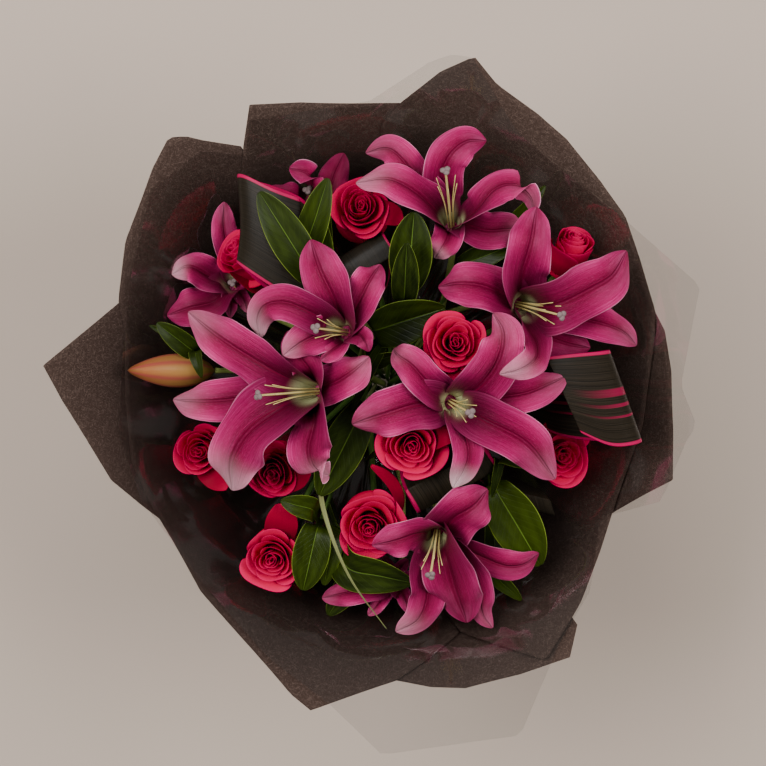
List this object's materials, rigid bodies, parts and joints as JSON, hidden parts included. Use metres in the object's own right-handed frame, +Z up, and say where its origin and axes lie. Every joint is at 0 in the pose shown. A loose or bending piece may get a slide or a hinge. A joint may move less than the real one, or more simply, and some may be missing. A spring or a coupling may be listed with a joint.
{
  "type": "wrapped flower bouquet",
  "caption": "Hand-tied bouquet of roses, trumpet lilies, looped cordyline and leafy sprays in a flared fibre wrap with a clear film; stands on its level-cut stems.",
  "frame": {"origin": "middle of the whole bouquet's box, on the surface that its cut stems stand on", "axes": "+Z up along the axis of the stems' spiral; +Y towards the tallest corner of the wrap, which is at the top of the picture; +X to the right of the picture"},
  "size_m": [0.5404, 0.571, 0.4385],
  "materials": {
    "rose_petal": null,
    "lily_tepal": null,
    "bud": "satin",
    "rose_stem": "satin, green",
    "lily_stem": "satin, pale green",
    "green_leaf": "waxy and slightly glossy",
    "cordyline_leaf": "glossy, dark olive with pink edges",
    "grass": "satin",
    "fibre_sheet": "matt non-woven fibre, charcoal brown",
    "clear_film": "clear and glossy",
    "twine": "matt",
    "ribbon": "satin"
  },
  "bodies": {
    "root": {"binding_twine": "twine", "clear_film": "clear_film", "cordyline_1": "cordyline_leaf", "cordyline_2": "cordyline_leaf", "cordyline_3": "cordyline_leaf", "cordyline_4": "cordyline_leaf", "cordyline_5": "cordyline_leaf", "grass_blade": "grass", "leafy_spray_1": "green_leaf", "leafy_spray_2": "green_leaf", "leafy_spray_3": "green_leaf", "leafy_spray_4": "green_leaf", "leafy_spray_5": "green_leaf", "leafy_spray_6": "green_leaf", "leafy_spray_7": "green_leaf", "lily_1": "lily_tepal", "lily_2": "lily_tepal", "lily_3": "lily_tepal", "lily_4": "lily_tepal", "lily_5": "lily_tepal", "lily_6": "lily_tepal", "lily_7": "lily_tepal", "lily_8": "lily_tepal", "lily_9": "lily_tepal", "lily_bud": "bud", "lily_stem_1": "lily_stem", "lily_stem_2": "lily_stem", "lily_stem_3": "lily_stem", "lily_stem_4": "lily_stem", "lily_stem_5": "lily_stem", "lily_stem_6": "lily_stem", "ribbon": "ribbon", "rose_1": "rose_petal", "rose_10": "rose_petal", "rose_2": "rose_petal", "rose_3": "rose_petal", "rose_4": "rose_petal", "rose_5": "rose_petal", "rose_6": "rose_petal", "rose_7": "rose_petal", "rose_8": "rose_petal", "rose_9": "rose_petal", "rose_stem_1": "rose_stem", "rose_stem_10": "rose_stem", "rose_stem_2": "rose_stem", "rose_stem_3": "rose_stem", "rose_stem_4": "rose_stem", "rose_stem_5": "rose_stem", "rose_stem_6": "rose_stem", "rose_stem_7": "rose_stem", "rose_stem_8": "rose_stem", "rose_stem_9": "rose_stem", "wrap_bottom": "fibre_sheet", "wrap_left_inner": "fibre_sheet", "wrap_left_outer": "fibre_sheet", "wrap_right_inner": "fibre_sheet", "wrap_right_outer": "fibre_sheet", "wrap_top": "fibre_sheet"}
  },
  "joints": []
}
